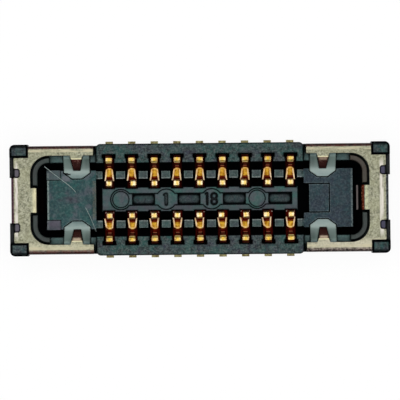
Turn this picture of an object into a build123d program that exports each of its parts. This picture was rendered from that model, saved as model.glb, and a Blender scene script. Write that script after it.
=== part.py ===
from build123d import *
import os

# Board to board receptacle connector with two rows of nine contacts on a fine pitch.
# +X runs along the rows, +Y across them and +Z up, towards the mating side.
# The origin lies on the solder plane under the middle of the part. All sizes are millimetres.

# Contact rows
pitch = 0.35
per_row = 9
row_half = pitch * (per_row - 1) / 2

# Heights of the moulding
board_gap = 0.02            # the moulding hangs this far above the solder plane
web = 0.04                  # floor under the mating groove
rib_height = 0.14           # floor ribs and end platforms above the groove's floor
island_rise = 0.30          # island above the ribs
wall_rise = 0.36            # long walls above the ribs
ledge_rise = 0.22           # ledge round each end cavity, above the ribs
seat_rise = 0.35            # seat of the end fittings, above the ribs
guide_rise = 0.135          # guide ribs above the ledge
post_rise = 0.045           # corner posts above the fittings' seat
strip_drop = 0.04           # end strips beside the fitting, below its seat
boss_rise = 0.03            # bosses in the fitting's notches, above its seat
channel_floor = board_gap + web
rib_top = channel_floor + rib_height
island_top = rib_top + island_rise
wall_top = rib_top + wall_rise
ledge_top = rib_top + ledge_rise
seat_top = rib_top + seat_rise
guide_top = ledge_top + guide_rise
post_top = seat_top + post_rise

# Moulding across the rows, from the middle outwards
island_half = 0.195
inner_channel = 0.12
rib_width = 0.13
outer_channel = 0.11
tooth_depth = 0.145
long_wall = 0.16
rib_in = island_half + inner_channel
rib_out = rib_in + rib_width
tooth_face = rib_out + outer_channel
wall_face = tooth_face + tooth_depth
body_half = wall_face + long_wall

# Moulding along the rows, from the middle outwards
island_margin = 0.115       # island past the last contact's centre
block_margin = 0.20         # long walls past the last contact's centre
platform_length = 0.77
end_channel = 0.13
guide_width = 0.08
guide_gap = 0.03            # between a guide rib and the fitting's edge
end_band = 0.295            # fitting's top band at the short end, bend included
post_proud = 0.025          # corner posts stand this far outside the fittings
post_length = 0.28
post_width = 0.195
island_end = row_half + island_margin
block_half = row_half + block_margin
platform_end = block_half + platform_length
cavity_x = platform_end + end_channel
tooth_step = 0.02           # teeth stand proud of the end cavities' sides
cavity_y = tooth_face + tooth_step
cavity_radius = 0.17

# Small forms of the moulding
block_corner = 0.07
block_shoulder = 0.03
post_corner = 0.08
post_inner_corner = 0.04
post_bevel = 0.025
lead_in = 0.015             # bevel on the teeth and the island
platform_side = 0.015       # platforms reach past the ribs by this much
rib_bevel = 0.008
guide_bevel = 0.012
guide_leg_x = 0.265         # length of a guide rib's leg along X, from the corner outwards
guide_leg_y = 0.43          # length of its leg along Y
corner_pad = 0.02           # depth of the lowered corner pads on one platform
corner_pad_x = 0.21
corner_pad_y = 0.15

# Gaps for the contacts in the moulding
fold_gap = 0.17             # narrow gap between two teeth
barb_gap = 0.21             # wide gap that holds the barbs
barb_gap_depth = 0.065
rib_gap = 0.215
island_gap = 0.19
island_gap_depth = 0.03
window_width = 0.06
window_length = 0.12
tail_play = 0.01            # round a tail, under the long wall
hole_play = 0.003           # round a contact's leg, in its hole through the web

# Marks in the island's top
band_half = 0.085
band_depth = 0.02
band_step = 0.015           # between the band's edge and its pockets
disc_shift = 0.18           # first disc's centre from the first contact's centre
disc_radius = 0.153
disc_count = 4
pin_radius = 0.122
pin_depth = 0.015
pocket_length = 0.33
pocket_depth = 0.07
band_bevel = 0.012          # bevel round the band and its pockets
pin_bevel = 0.01            # bevel round the ejector-pin marks
numeral_depth = 0.03
numeral_height = 0.20
one_width = 0.05
small_one_width = 0.034
small_one_place = -0.068    # from the middle of its disc
flag_length = 0.05
flag_width = 0.026
flag_angle = 40             # degrees
eight_place = 0.038         # from the middle of its disc
eight_stroke = 0.03

# Groove round the pad on the other platform
pad_gap = 0.09              # its edge from the platform's inner end
pad_length = 0.32
pad_half = 0.23
pad_groove = 0.018
pad_groove_depth = 0.05

# Contact strip
strip = 0.045
bend = 0.015                # inside radius of each fold
tail_width = 0.115
tail_reach = 0.04           # tail past the long wall
fold_width = 0.105
neck_width = 0.09
floor_narrow = 0.10
floor_wide = 0.15
tip_width = 0.09
rail_width = 0.022
rail_rise = 0.03
leg_gap = 0.015             # between the contact's outer leg and the wall
fold_inside = 0.035
leg_lean = 0.075            # inner leg's slope, top to bottom
fold_drop = 0.04            # fold's top below the long wall's top
tip_drop = 0.08             # tip's top below the island's top
tip_clear = 0.03            # tip's inner face from the island's side
tip_inside = 0.042
tip_lean = 0.038
hook_drop = 0.10
hook_lean = 0.008
barb_low = 0.02             # barbs above the groove's floor
barb_height = 0.08

# Power leaves
leaf_sheet = 0.05
leaf_offset = 0.30          # leaf's centre past the long wall's end
leaf_width = 0.40
leaf_play = 0.005
leaf_reach = 0.13           # leaf's end inside the platform's side
leaf_flat = 0.15            # width of the leaf's end
leaf_corner = 0.09          # length of the leaf's slanted corners along Y
leaf_curve = 0.20
leaf_slot_end = 0.11
leaf_slot_root = 0.20
leaf_bight = 0.125          # metal left between the slot and the leaf's end
leaf_slot_stop = 0.04       # metal left between the slot and the leg
leaf_recess_play = 0.015
leaf_leg_shift = 0.005      # leg's inner face past the wall face
leaf_fold = 0.03
leaf_bend = 0.01
leaf_lean = 0.21            # inner leg's slope, top to bottom
leaf_top_gap = 0.02         # under the fitting
leaf_barb_height = 0.12

# End fittings
sheet = 0.05
fitting_gap = 0.04          # past the long wall's end
fitting_stop_play = 0.001   # from the stop that closes this gap
fitting_stop_top = 0.30
flank_lift = 0.12           # flank's lower edge above the solder plane
foot_width = 0.18
foot_start = 0.10
foot_pitch = 0.58
end_flank_half = 0.35
end_foot_half = 0.12
edge_setback = 0.04
notch_width = 0.14
notch_depth = 0.095
notch_radius = 0.04
boss_play = 0.01
edge_radius = 0.02
post_fit = 0.01
tongue_root = 0.20
tongue_shoulder = 0.16
tongue_end = 0.09
tongue_flat = 0.06
tongue_drop = 0.31
tongue_slope = 0.125
sheet_bend = 0.02
lip_half = 0.19
lip_reach = 0.085           # lip past the frame's inner edge
lip_foot = 0.105
lip_play = 0.005
lip_lift = 0.01             # lip's foot above the groove's floor

# Places that several pieces share
opening_x = cavity_x + guide_width + guide_gap
opening_y = cavity_y + guide_width + guide_gap
opening_radius = cavity_radius + guide_width + guide_gap
fitting_start = block_half + fitting_gap
fitting_end = opening_x + end_band
fitting_half = body_half - post_proud
side_wall_y = fitting_half - sheet
end_wall_x = fitting_end - sheet
post_end = fitting_end + post_proud
post_start = post_end - post_length
post_in = body_half - post_width
shoulder_x = fitting_end - edge_setback
notch_y = end_flank_half + notch_width / 2
notch_x = shoulder_x - notch_depth
leaf_x = block_half + leaf_offset
platform_y = rib_out + platform_side
leaf_tip = platform_y - leaf_reach
leaf_leg = wall_face + leaf_leg_shift
leaf_back = leaf_leg + leaf_sheet + leaf_play
leaf_seat = rib_top - leaf_sheet
leaf_top = seat_top - leaf_top_gap
lip_back = opening_x - lip_reach
rib_mid = (rib_in + rib_out) / 2
barb_gap_in = wall_face - barb_gap_depth
leg_in = wall_face - leg_gap - strip
tail_end = body_half + tail_reach
fold_top = wall_top - fold_drop
tip_top = island_top - tip_drop
clear_top = post_top + sheet        # a height above every piece
tiny = 0.001                        # reach for finding an edge by its place


def block(x_from, x_to, y_from, y_to, mode=Mode.ADD):
    """Rectangle of the current sketch, given by its sides."""
    with Locations(((x_from + x_to) / 2, (y_from + y_to) / 2)):
        Rectangle(x_to - x_from, y_to - y_from, mode=mode)


def block_at_corners(x_from, x_to, y_from, y_to, mode=Mode.ADD):
    """The same rectangle at all four corners of the part."""
    with GridLocations(x_from + x_to, y_from + y_to, 2, 2):
        Rectangle(x_to - x_from, y_to - y_from, mode=mode)


def rims_near(edges, height, places, x_reach, y_reach):
    """Edges that lie at one height within a reach of any of the given places."""
    return edges.filter_by(
        lambda e: abs(e.center().Z - height) < tiny
        and any(
            abs(e.center().X - x) < x_reach + tiny and abs(e.center().Y - y) < y_reach + tiny
            for x, y in places
        )
    )


def numeral_one(width):
    """Numeral 1 of the current sketch: an upright stroke with a short flag."""
    SlotOverall(numeral_height, width, rotation=90)
    with Locations((-width / 2, (numeral_height - width) / 2)):
        SlotOverall(flag_length, flag_width, rotation=flag_angle)


def leaf_outline(grow=0.0):
    """Plan outline of the power leaf at +Y, from its back to its tip, grown all round."""
    half = leaf_width / 2 + grow
    shoulder = leaf_tip + leaf_corner - grow / 2
    end = leaf_flat / 2 + grow / 2
    Polygon(
        (-half, leaf_back),
        (-half, shoulder),
        (-end, leaf_tip - grow),
        (end, leaf_tip - grow),
        (half, shoulder),
        (half, leaf_back),
        align=None,
    )


def far_side(points, thickness):
    """Corners of a folded strip's far face, at its thickness to the right of the near face."""
    runs = [(Vector(*b) - Vector(*a)).normalized() for a, b in zip(points, points[1:])]
    normals = [Vector(run.Y, -run.X) for run in runs]
    corners = [Vector(*points[0]) + normals[0] * thickness]
    for point, before, after in zip(points[1:-1], normals, normals[1:]):
        corners.append(Vector(*point) + (before + after) * (thickness / (1 + before.dot(after))))
    return corners + [Vector(*points[-1]) + normals[-1] * thickness]


def fold_radii(points, inside, thickness):
    """Fold radii of a strip's near and far faces, from the inside radius at each corner."""
    runs = [Vector(*b) - Vector(*a) for a, b in zip(points, points[1:])]
    near, far = [], []
    for radius, before, after in zip(inside, runs, runs[1:]):
        turns_right = before.X * after.Y < before.Y * after.X
        near.append(radius + thickness if turns_right else radius)
        far.append(radius if turns_right else radius + thickness)
    return near, far


# Outline of one leaf's recess, to be set into both platforms
with BuildSketch() as leaf_recess:
    leaf_outline(leaf_recess_play)
    block(-leaf_width, leaf_width, cavity_y, body_half, mode=Mode.SUBTRACT)

# Housing
with BuildPart() as housing:
    # Centre block with a rounded shoulder
    with BuildSketch(Plane.XY.offset(board_gap)):
        RectangleRounded(2 * block_half, 2 * body_half, block_corner)
    extrude(amount=wall_top - board_gap)
    fillet(housing.faces().sort_by(Axis.Z)[-1].edges(), radius=block_shoulder)

    # End boxes up to the ledge
    with BuildSketch(Plane.XY.offset(board_gap)):
        Rectangle(2 * end_wall_x, 2 * side_wall_y)
    extrude(amount=ledge_top - board_gap)

    # Low stops that close the gaps between the centre block and the fittings' flanks
    with BuildSketch(Plane.XY.offset(board_gap)):
        stop_to = fitting_start - fitting_stop_play
        block_at_corners(block_half - block_corner, stop_to, side_wall_y, fitting_half)
    extrude(amount=fitting_stop_top - board_gap)

    # Mating groove and end cavities in one
    with BuildSketch(Plane.XY.offset(channel_floor)):
        RectangleRounded(2 * cavity_x, 2 * cavity_y, cavity_radius)
    extrude(amount=clear_top - channel_floor, mode=Mode.SUBTRACT)

    # Seat of the fittings, round the end cavities and behind each lip
    with BuildSketch(Plane.XY.offset(ledge_top)):
        Rectangle(2 * end_wall_x, 2 * side_wall_y)
        RectangleRounded(
            2 * (opening_x + guide_gap),
            2 * (opening_y + leaf_play),
            opening_radius,
            mode=Mode.SUBTRACT,
        )
        Rectangle(2 * fitting_start, 2 * body_half, mode=Mode.SUBTRACT)
        lip_seat = lip_back + sheet_bend
        block(lip_seat, end_wall_x, -lip_half, lip_half)
        block(-end_wall_x, -lip_seat, -lip_half, lip_half)
    extrude(amount=seat_top - ledge_top)

    # End strips beside the fittings
    with BuildSketch(Plane.XY.offset(board_gap)):
        block_at_corners(end_wall_x - edge_setback, post_end, end_flank_half, body_half - post_corner)
    extrude(amount=seat_top - strip_drop - board_gap)

    # Corner posts
    with BuildSketch(Plane.XY.offset(board_gap)) as posts:
        block_at_corners(post_start, post_end, post_in, body_half)
        outer = posts.vertices().filter_by(
            lambda v: abs(v.X) > post_end - edge_radius and abs(v.Y) > body_half - edge_radius
        )
        inner = posts.vertices().filter_by(
            lambda v: abs(v.X) < post_start + edge_radius and abs(v.Y) < post_in + edge_radius
        )
        fillet(outer, radius=post_corner)
        fillet(inner, radius=post_inner_corner)
    extrude(amount=post_top - board_gap)
    chamfer(housing.faces().filter_by(Axis.Z).group_by(Axis.Z)[-1].edges(), length=post_bevel)

    # Rounded bosses that fill the fittings' notches
    with BuildSketch(Plane.XY.offset(board_gap)):
        boss_from = notch_x + boss_play
        with GridLocations(boss_from + shoulder_x, 2 * notch_y, 2, 2):
            RectangleRounded(
                shoulder_x - boss_from,
                notch_width - 2 * boss_play,
                notch_radius - boss_play,
            )
    extrude(amount=seat_top + boss_rise - board_gap)

    # Guide ribs round the corners of the end cavities
    with BuildSketch(Plane.XY.offset(ledge_top)):
        RectangleRounded(
            2 * (cavity_x + guide_width),
            2 * (cavity_y + guide_width),
            cavity_radius + guide_width,
        )
        RectangleRounded(2 * cavity_x, 2 * cavity_y, cavity_radius, mode=Mode.SUBTRACT)
        Rectangle(2 * (cavity_x + guide_width - guide_leg_x), 2 * body_half, mode=Mode.SUBTRACT)
        Rectangle(2 * post_end, 2 * (cavity_y + guide_width - guide_leg_y), mode=Mode.SUBTRACT)
    extrude(amount=guide_rise)
    guide_faces = housing.faces().filter_by(Axis.Z).filter_by_position(
        Axis.Z, guide_top - rib_bevel / 2, guide_top + rib_bevel / 2
    )
    corner_faces = guide_faces.filter_by(lambda f: abs(f.center().X) > platform_end)
    chamfer(corner_faces.edges(), length=guide_bevel)

    # Toothed inner faces of the long walls, with a lead-in bevel
    with BuildSketch(Plane.YZ) as tooth_section:
        with BuildLine():
            Polyline(
                (cavity_y + tooth_step, channel_floor),
                (tooth_face, channel_floor),
                (tooth_face, wall_top - lead_in),
                (tooth_face + lead_in, wall_top),
                (cavity_y + tooth_step, wall_top),
                close=True,
            )
        make_face()
        mirror(about=Plane.YZ)
    extrude(amount=block_half - lead_in / 2, both=True)

    # Floor ribs and end platforms
    with BuildSketch(Plane.XY.offset(channel_floor)):
        with GridLocations(0, 2 * rib_mid, 1, 2):
            Rectangle(2 * block_half, rib_width)
        block(block_half, platform_end, -platform_y, platform_y)
        block(-platform_end, -block_half, -platform_y, platform_y)
    extrude(amount=rib_height)
    floor_faces = housing.faces().filter_by(Axis.Z).filter_by_position(
        Axis.Z, rib_top - rib_bevel / 2, rib_top + rib_bevel / 2
    )
    chamfer(floor_faces.edges(), length=rib_bevel)

    # Island
    with BuildSketch(Plane.XY.offset(channel_floor)):
        Rectangle(2 * island_end, 2 * island_half)
    extrude(amount=island_top - channel_floor)
    island_face = housing.faces().filter_by(Axis.Z).filter_by_position(
        Axis.Z, island_top - rib_bevel / 2, island_top + rib_bevel / 2
    )
    chamfer(island_face.edges(), length=lead_in)

    # Contact gaps in the ribs
    with BuildSketch(Plane.XY.offset(channel_floor)):
        with GridLocations(pitch, 2 * rib_mid, per_row, 2):
            Rectangle(rib_gap, rib_width)
    extrude(amount=rib_height, mode=Mode.SUBTRACT)

    # Narrow gaps between the teeth, and the wide ones behind them
    with BuildSketch(Plane.XY.offset(channel_floor)):
        with GridLocations(pitch, tooth_face + wall_face, per_row, 2):
            Rectangle(fold_gap, tooth_depth)
        with GridLocations(pitch, barb_gap_in + wall_face, per_row, 2):
            Rectangle(barb_gap, barb_gap_depth)
    extrude(amount=clear_top - channel_floor, mode=Mode.SUBTRACT)

    # Gaps in the island's sides for the contact tips
    with BuildSketch(Plane.XY.offset(channel_floor)):
        with GridLocations(pitch, 2 * island_half - island_gap_depth, per_row, 2):
            Rectangle(island_gap, island_gap_depth)
    extrude(amount=clear_top - channel_floor, mode=Mode.SUBTRACT)

    # Grooves for the solder tails under the long walls
    with BuildSketch(Plane.XY):
        with GridLocations(pitch, barb_gap_in + body_half, per_row, 2):
            Rectangle(tail_width + 2 * tail_play, body_half - barb_gap_in)
    extrude(amount=strip + tail_play, mode=Mode.SUBTRACT)

    # Holes through the web for the contacts' legs and windows under their floors
    with BuildSketch(Plane.XY):
        hole_in = leg_in - hole_play
        hole_out = leg_in + strip + hole_play
        with GridLocations(pitch, hole_in + hole_out, per_row, 2):
            Rectangle(tail_width + 2 * hole_play, hole_out - hole_in)
        with GridLocations(pitch, rib_in + tooth_face, per_row, 2):
            Rectangle(window_width, window_length)
    extrude(amount=channel_floor, mode=Mode.SUBTRACT)

    # Slots for the power leaves: through the ledge and the wall, down past the web, out below
    with BuildSketch(Plane.XY.offset(channel_floor)):
        with GridLocations(2 * leaf_x, cavity_y + leaf_back, 2, 2):
            Rectangle(leaf_width + 2 * leaf_play, leaf_back - cavity_y)
    extrude(amount=clear_top - channel_floor, mode=Mode.SUBTRACT)
    with BuildSketch(Plane.XY):
        with GridLocations(2 * leaf_x, wall_face + leaf_back, 2, 2):
            Rectangle(leaf_width + 2 * leaf_play, leaf_back - wall_face)
    extrude(amount=channel_floor, mode=Mode.SUBTRACT)
    with BuildSketch(Plane.XY):
        with GridLocations(2 * leaf_x, wall_face + side_wall_y, 2, 2):
            Rectangle(leaf_width + 2 * leaf_play, side_wall_y - wall_face)
    extrude(amount=leaf_sheet + leaf_play, mode=Mode.SUBTRACT)

    # Recesses of the leaves in the platforms
    with BuildSketch(Plane.XY.offset(leaf_seat)):
        with Locations((leaf_x, 0), (-leaf_x, 0)):
            add(leaf_recess.sketch)
            add(leaf_recess.sketch, rotation=180)
    extrude(amount=leaf_sheet, mode=Mode.SUBTRACT)

    # Recesses of the fittings' lips in the end walls
    with BuildSketch(Plane.XY.offset(channel_floor)):
        lip_slot = lip_back + lip_play - cavity_x
        with GridLocations(2 * cavity_x + lip_slot, 0, 2, 1):
            Rectangle(lip_slot, 2 * (lip_half + lip_play))
    extrude(amount=clear_top - channel_floor, mode=Mode.SUBTRACT)

    # Lowered corner pads on the left platform
    with BuildSketch(Plane.XY.offset(rib_top)):
        with GridLocations(0, 2 * platform_y - corner_pad_y, 1, 2):
            with Locations((-platform_end + corner_pad_x / 2, 0)):
                Rectangle(corner_pad_x, corner_pad_y)
    extrude(amount=-corner_pad, mode=Mode.SUBTRACT)

    # Right platform: a deeper step next to the island and a groove round its pad
    with BuildSketch(Plane.XY.offset(channel_floor)):
        block(block_half, block_half + pad_gap, -pad_half, pad_half)
    extrude(amount=rib_height, mode=Mode.SUBTRACT)
    with BuildSketch(Plane.XY.offset(rib_top)):
        pad_from = block_half + pad_gap
        block(pad_from, pad_from + pad_length, -pad_half, pad_half)
        block(
            pad_from,
            pad_from + pad_length - pad_groove,
            -pad_half + pad_groove,
            pad_half - pad_groove,
            mode=Mode.SUBTRACT,
        )
    extrude(amount=-pad_groove_depth, mode=Mode.SUBTRACT)

    # Recessed band along the island, widened to a disc at every second contact
    first_disc = disc_shift - row_half
    disc_pitch = 2 * pitch
    disc_places = [(first_disc + n * disc_pitch, 0) for n in range(disc_count)]
    pocket_places = [(x + pitch, 0) for x, _ in disc_places]
    band_floor = island_top - band_depth
    with BuildSketch(Plane.XY.offset(island_top)):
        band_end = pocket_places[-1][0] + pocket_length / 2 + band_step
        block(first_disc, band_end, -band_half, band_half)
        with Locations(*disc_places):
            Circle(disc_radius)
    extrude(amount=-band_depth, mode=Mode.SUBTRACT)
    band_rim = rims_near(housing.edges(), island_top, [(0, 0)], island_end - 2 * lead_in, disc_radius)
    chamfer(band_rim, length=band_bevel)

    # Pockets along the band
    pocket_half = band_half - band_step
    with BuildSketch(Plane.XY.offset(band_floor)):
        with Locations(*pocket_places):
            Rectangle(pocket_length, 2 * pocket_half)
    extrude(amount=-pocket_depth, mode=Mode.SUBTRACT)
    pocket_rims = rims_near(housing.edges(), band_floor, pocket_places, pocket_length / 2, pocket_half)
    chamfer(pocket_rims, length=band_bevel)

    # Ejector-pin marks on the outer discs
    with BuildSketch(Plane.XY.offset(band_floor)):
        with Locations(disc_places[0], disc_places[-1]):
            Circle(pin_radius)
    extrude(amount=-pin_depth, mode=Mode.SUBTRACT)
    pin_rims = rims_near(housing.edges(), band_floor, disc_places, pin_radius, pin_radius)
    chamfer(pin_rims, length=pin_bevel)

    # Plain numerals on the inner discs: 1 and 18
    with BuildSketch(Plane.XY.offset(band_floor)):
        with Locations(disc_places[1]):
            numeral_one(one_width)
        with Locations(disc_places[2]):
            with Locations((small_one_place, 0)):
                numeral_one(small_one_width)
            loop = (numeral_height + eight_stroke) / 4
            loop_shift = loop - eight_stroke / 2
            with Locations((eight_place, loop_shift), (eight_place, -loop_shift)):
                Circle(loop)
                Circle(loop - eight_stroke, mode=Mode.SUBTRACT)
    extrude(amount=-numeral_depth, mode=Mode.SUBTRACT)

# Plan outline of a contact: wide tail and fold, slim neck, flared floor, narrow tip
floor_out = leg_in - fold_inside - leg_lean
tip_inner = island_half + tip_clear
tip_outer = tip_inner + tip_inside
floor_in = tip_outer + tip_lean
floor_from = floor_in - bend
floor_to = floor_out - strip
fold_end = leg_in - fold_inside - strip
with BuildPart() as contact_plan:
    with BuildSketch():
        block(-tail_width / 2, tail_width / 2, barb_gap_in, tail_end)
        block(-neck_width / 2, neck_width / 2, floor_to, barb_gap_in)
        with BuildLine():
            Polyline(
                (-floor_narrow / 2, floor_to),
                (-floor_wide / 2, floor_from),
                (floor_wide / 2, floor_from),
                (floor_narrow / 2, floor_to),
                close=True,
            )
        make_face()
    extrude(amount=channel_floor + strip)
    with BuildSketch(Plane.XY.offset(channel_floor + strip)):
        block(-fold_width / 2, fold_width / 2, fold_end + bend, tail_end)
        block(-neck_width / 2, neck_width / 2, floor_to, fold_end + bend)
        block(-tip_width / 2, tip_width / 2, 0, floor_to)
    extrude(amount=wall_top)

# Contact, made once for the +Y row at x = 0
contact_path = [
    (tail_end, 0),
    (leg_in, 0),
    (leg_in, fold_top - strip),
    (leg_in - fold_inside, fold_top - strip),
    (floor_out, channel_floor),
    (floor_in, channel_floor),
    (tip_outer, tip_top - strip),
    (tip_inner, tip_top - strip),
    (tip_inner - hook_lean, tip_top - strip - hook_drop),
]
near_radii, far_radii = fold_radii(contact_path, [bend] * (len(contact_path) - 2), strip)
with BuildPart() as contact:
    with BuildSketch(Plane.YZ):
        with BuildLine():
            near = FilletPolyline(contact_path, radius=near_radii)
            far = FilletPolyline(far_side(contact_path, strip), radius=far_radii)
            Line(near @ 0, far @ 0)
            Line(near @ 1, far @ 1)
        make_face()
    extrude(amount=floor_wide, both=True)
    add(contact_plan.part, mode=Mode.INTERSECT)

    # Rims turned up along both sides of the floor
    with BuildSketch(Plane.XY.offset(channel_floor)):
        with BuildLine():
            Polyline(
                (floor_narrow / 2, floor_to),
                (floor_narrow / 2 - rail_width, floor_to),
                (floor_wide / 2 - rail_width, floor_from),
                (floor_wide / 2, floor_from),
                close=True,
            )
        make_face()
        mirror(about=Plane.YZ)
    extrude(amount=strip + rail_rise)

    # Barbs that hold the outer leg in the wide gap
    with BuildSketch(Plane.XY.offset(channel_floor + barb_low)):
        block(-barb_gap / 2, barb_gap / 2, leg_in, leg_in + strip)
    extrude(amount=barb_height)

# Power leaf, made once for the +Y side at x = 0
leaf_path = [
    (side_wall_y - leaf_play, 0),
    (leaf_leg, 0),
    (leaf_leg, leaf_top - leaf_sheet),
    (leaf_leg - leaf_fold, leaf_top - leaf_sheet),
    (leaf_leg - leaf_fold - leaf_lean, leaf_seat),
    (leaf_tip - leaf_sheet, leaf_seat),
]
leaf_bends = [leaf_bend, leaf_bend, leaf_bend, leaf_curve]
near_radii, far_radii = fold_radii(leaf_path, leaf_bends, leaf_sheet)
with BuildPart() as leaf:
    with BuildSketch(Plane.YZ):
        with BuildLine():
            near = FilletPolyline(leaf_path, radius=near_radii)
            far = FilletPolyline(far_side(leaf_path, leaf_sheet), radius=far_radii)
            Line(near @ 0, far @ 0)
            Line(near @ 1, far @ 1)
        make_face()
    extrude(amount=leaf_width, both=True)
    with BuildSketch() as leaf_plan:
        leaf_outline()
        block(-leaf_width / 2, leaf_width / 2, leaf_back - leaf_play, side_wall_y)
        fillet(leaf_plan.vertices().group_by(Axis.Y)[0], radius=leaf_corner / 2)
        with BuildLine():
            slot_from = leaf_tip + leaf_bight
            slot_to = leaf_leg - leaf_slot_stop
            Polyline(
                (-leaf_slot_end / 2, slot_from),
                (leaf_slot_end / 2, slot_from),
                (leaf_slot_root / 2, slot_to),
                (-leaf_slot_root / 2, slot_to),
                close=True,
            )
        make_face(mode=Mode.SUBTRACT)
    extrude(amount=clear_top, mode=Mode.INTERSECT)
    with BuildSketch(Plane.XY.offset(leaf_seat)):
        half_slot = leaf_width / 2 + leaf_play
        block(-half_slot, half_slot, leaf_leg, leaf_leg + leaf_sheet)
    extrude(amount=leaf_barb_height)

# Guide tongue of an end fitting, at x = 0 on the +Y side
tongue_corner = opening_y - tongue_flat
tongue_path = [
    (opening_y + sheet, seat_top),
    (tongue_corner, seat_top),
    (tongue_corner - tongue_slope, seat_top - tongue_drop),
]
near_radii, far_radii = fold_radii(tongue_path, [sheet_bend], sheet)
with BuildPart() as tongue:
    with BuildSketch(Plane.YZ):
        with BuildLine():
            near = FilletPolyline(tongue_path, radius=near_radii)
            far = FilletPolyline(far_side(tongue_path, sheet), radius=far_radii)
            Line(near @ 0, far @ 0)
            Line(near @ 1, far @ 1)
        make_face()
    extrude(amount=tongue_root, both=True)
    with BuildSketch():
        with BuildLine():
            tongue_tip = tongue_corner - tongue_slope - sheet
            Polyline(
                (-tongue_root / 2, opening_y + sheet),
                (-tongue_root / 2, opening_y),
                (-tongue_shoulder / 2, tongue_corner),
                (-tongue_end / 2, tongue_tip),
                (tongue_end / 2, tongue_tip),
                (tongue_shoulder / 2, tongue_corner),
                (tongue_root / 2, opening_y),
                (tongue_root / 2, opening_y + sheet),
                close=True,
            )
        make_face()
    extrude(amount=clear_top, mode=Mode.INTERSECT)

# Folded sections of the end fitting: side flank, end flank and lip
side_path = [
    (side_wall_y, flank_lift),
    (side_wall_y, seat_top),
    (side_wall_y - sheet, seat_top),
]
end_path = [
    (end_wall_x, flank_lift),
    (end_wall_x, seat_top),
    (end_wall_x - sheet, seat_top),
]
lip_path = [
    (opening_x + sheet, seat_top),
    (lip_back, seat_top),
    (lip_back, channel_floor + lip_lift),
    (lip_back - lip_foot, channel_floor + lip_lift),
]

# End fitting at +X
with BuildPart() as fitting:
    # Top sheet round the cavity, cut out for the posts and the notches
    with BuildSketch(Plane.XY.offset(seat_top)) as sheet_plan:
        block(fitting_start, shoulder_x, -side_wall_y, side_wall_y)
        with GridLocations(2 * shoulder_x - notch_depth + notch_radius, 2 * notch_y, 2, 2):
            RectangleRounded(notch_depth + notch_radius, notch_width, notch_radius, mode=Mode.SUBTRACT)
        block_at_corners(
            post_start - post_fit, post_end, post_in - post_fit, body_half, mode=Mode.SUBTRACT
        )
        shoulders = sheet_plan.vertices().filter_by(
            lambda v: abs(v.Y) > notch_y and v.X > shoulder_x - edge_radius
        )
        post_cutouts = sheet_plan.vertices().filter_by(
            lambda v: abs(abs(v.Y) - post_in) < edge_radius and abs(v.X - post_start) < edge_radius
        )
        fillet(shoulders, radius=edge_radius)
        fillet(post_cutouts, radius=post_inner_corner + post_fit)
        RectangleRounded(2 * opening_x, 2 * opening_y, opening_radius, mode=Mode.SUBTRACT)
    extrude(amount=sheet)

    # Side flanks, folded down outside the moulding
    near_radii, far_radii = fold_radii(side_path, [0], sheet)
    with BuildSketch(Plane.YZ.offset(fitting_start)):
        with BuildLine():
            near = FilletPolyline(side_path, radius=near_radii)
            far = FilletPolyline(far_side(side_path, sheet), radius=far_radii)
            Line(near @ 0, far @ 0)
            Line(near @ 1, far @ 1)
        make_face()
        mirror(about=Plane.YZ)
    extrude(amount=post_start - post_fit - fitting_start)

    # End flank
    near_radii, far_radii = fold_radii(end_path, [0], sheet)
    with BuildSketch(Plane.XZ):
        with BuildLine():
            near = FilletPolyline(end_path, radius=near_radii)
            far = FilletPolyline(far_side(end_path, sheet), radius=far_radii)
            Line(near @ 0, far @ 0)
            Line(near @ 1, far @ 1)
        make_face()
    extrude(amount=end_flank_half, both=True)

    # Solder feet
    with BuildSketch():
        for place in (foot_start, foot_start + foot_pitch):
            left = fitting_start + place
            block(left, left + foot_width, side_wall_y, fitting_half)
            block(left, left + foot_width, -fitting_half, -side_wall_y)
        block(end_wall_x, fitting_end, -end_foot_half, end_foot_half)
    extrude(amount=flank_lift)

    # Guide tongues over both power leaves
    with Locations((leaf_x, 0)):
        add(tongue.part)
        add(tongue.part, rotation=(0, 0, 180))

    # Lip bent down into the end cavity, with its foot turned in over the groove's floor
    near_radii, far_radii = fold_radii(lip_path, [sheet_bend, sheet_bend], sheet)
    with BuildSketch(Plane.XZ):
        with BuildLine():
            near = FilletPolyline(lip_path, radius=near_radii)
            far = FilletPolyline(far_side(lip_path, sheet), radius=far_radii)
            Line(near @ 0, far @ 0)
            Line(near @ 1, far @ 1)
        make_face()
    extrude(amount=lip_half, both=True)

# Write every piece
os.makedirs("parts", exist_ok=True)


def write(piece, name):
    """Label a finished piece and write it under its name."""
    piece.label = name
    export_step(piece, f"parts/{name}.step")


write(housing.part, "housing")
for number in range(per_row):
    place = (number - (per_row - 1) / 2) * pitch
    with BuildPart() as top_contact:
        with Locations((place, 0)):
            add(contact.part)
    write(top_contact.part, f"contact_top_{number + 1}")
    with BuildPart() as bottom_contact:
        with Locations((place, 0)):
            add(contact.part, rotation=(0, 0, 180))
    write(bottom_contact.part, f"contact_bottom_{number + 1}")
for side, sign in (("left", -1), ("right", 1)):
    for row, turn in (("top", 0), ("bottom", 180)):
        with BuildPart() as placed_leaf:
            with Locations((sign * leaf_x, 0)):
                add(leaf.part, rotation=(0, 0, turn))
        write(placed_leaf.part, f"power_leaf_{side}_{row}")
write(fitting.part, "end_fitting_right")
with BuildPart() as left_fitting:
    add(fitting.part, rotation=(0, 0, 180))
write(left_fitting.part, "end_fitting_left")
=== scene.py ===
# %% [markdown]
# A board to board receptacle connector, 5.86 mm long, seen from straight above as under a
# microscope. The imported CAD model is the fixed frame: it is loaded first, and every piece
# made here takes the place of one of its nodes or lies on one.

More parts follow.
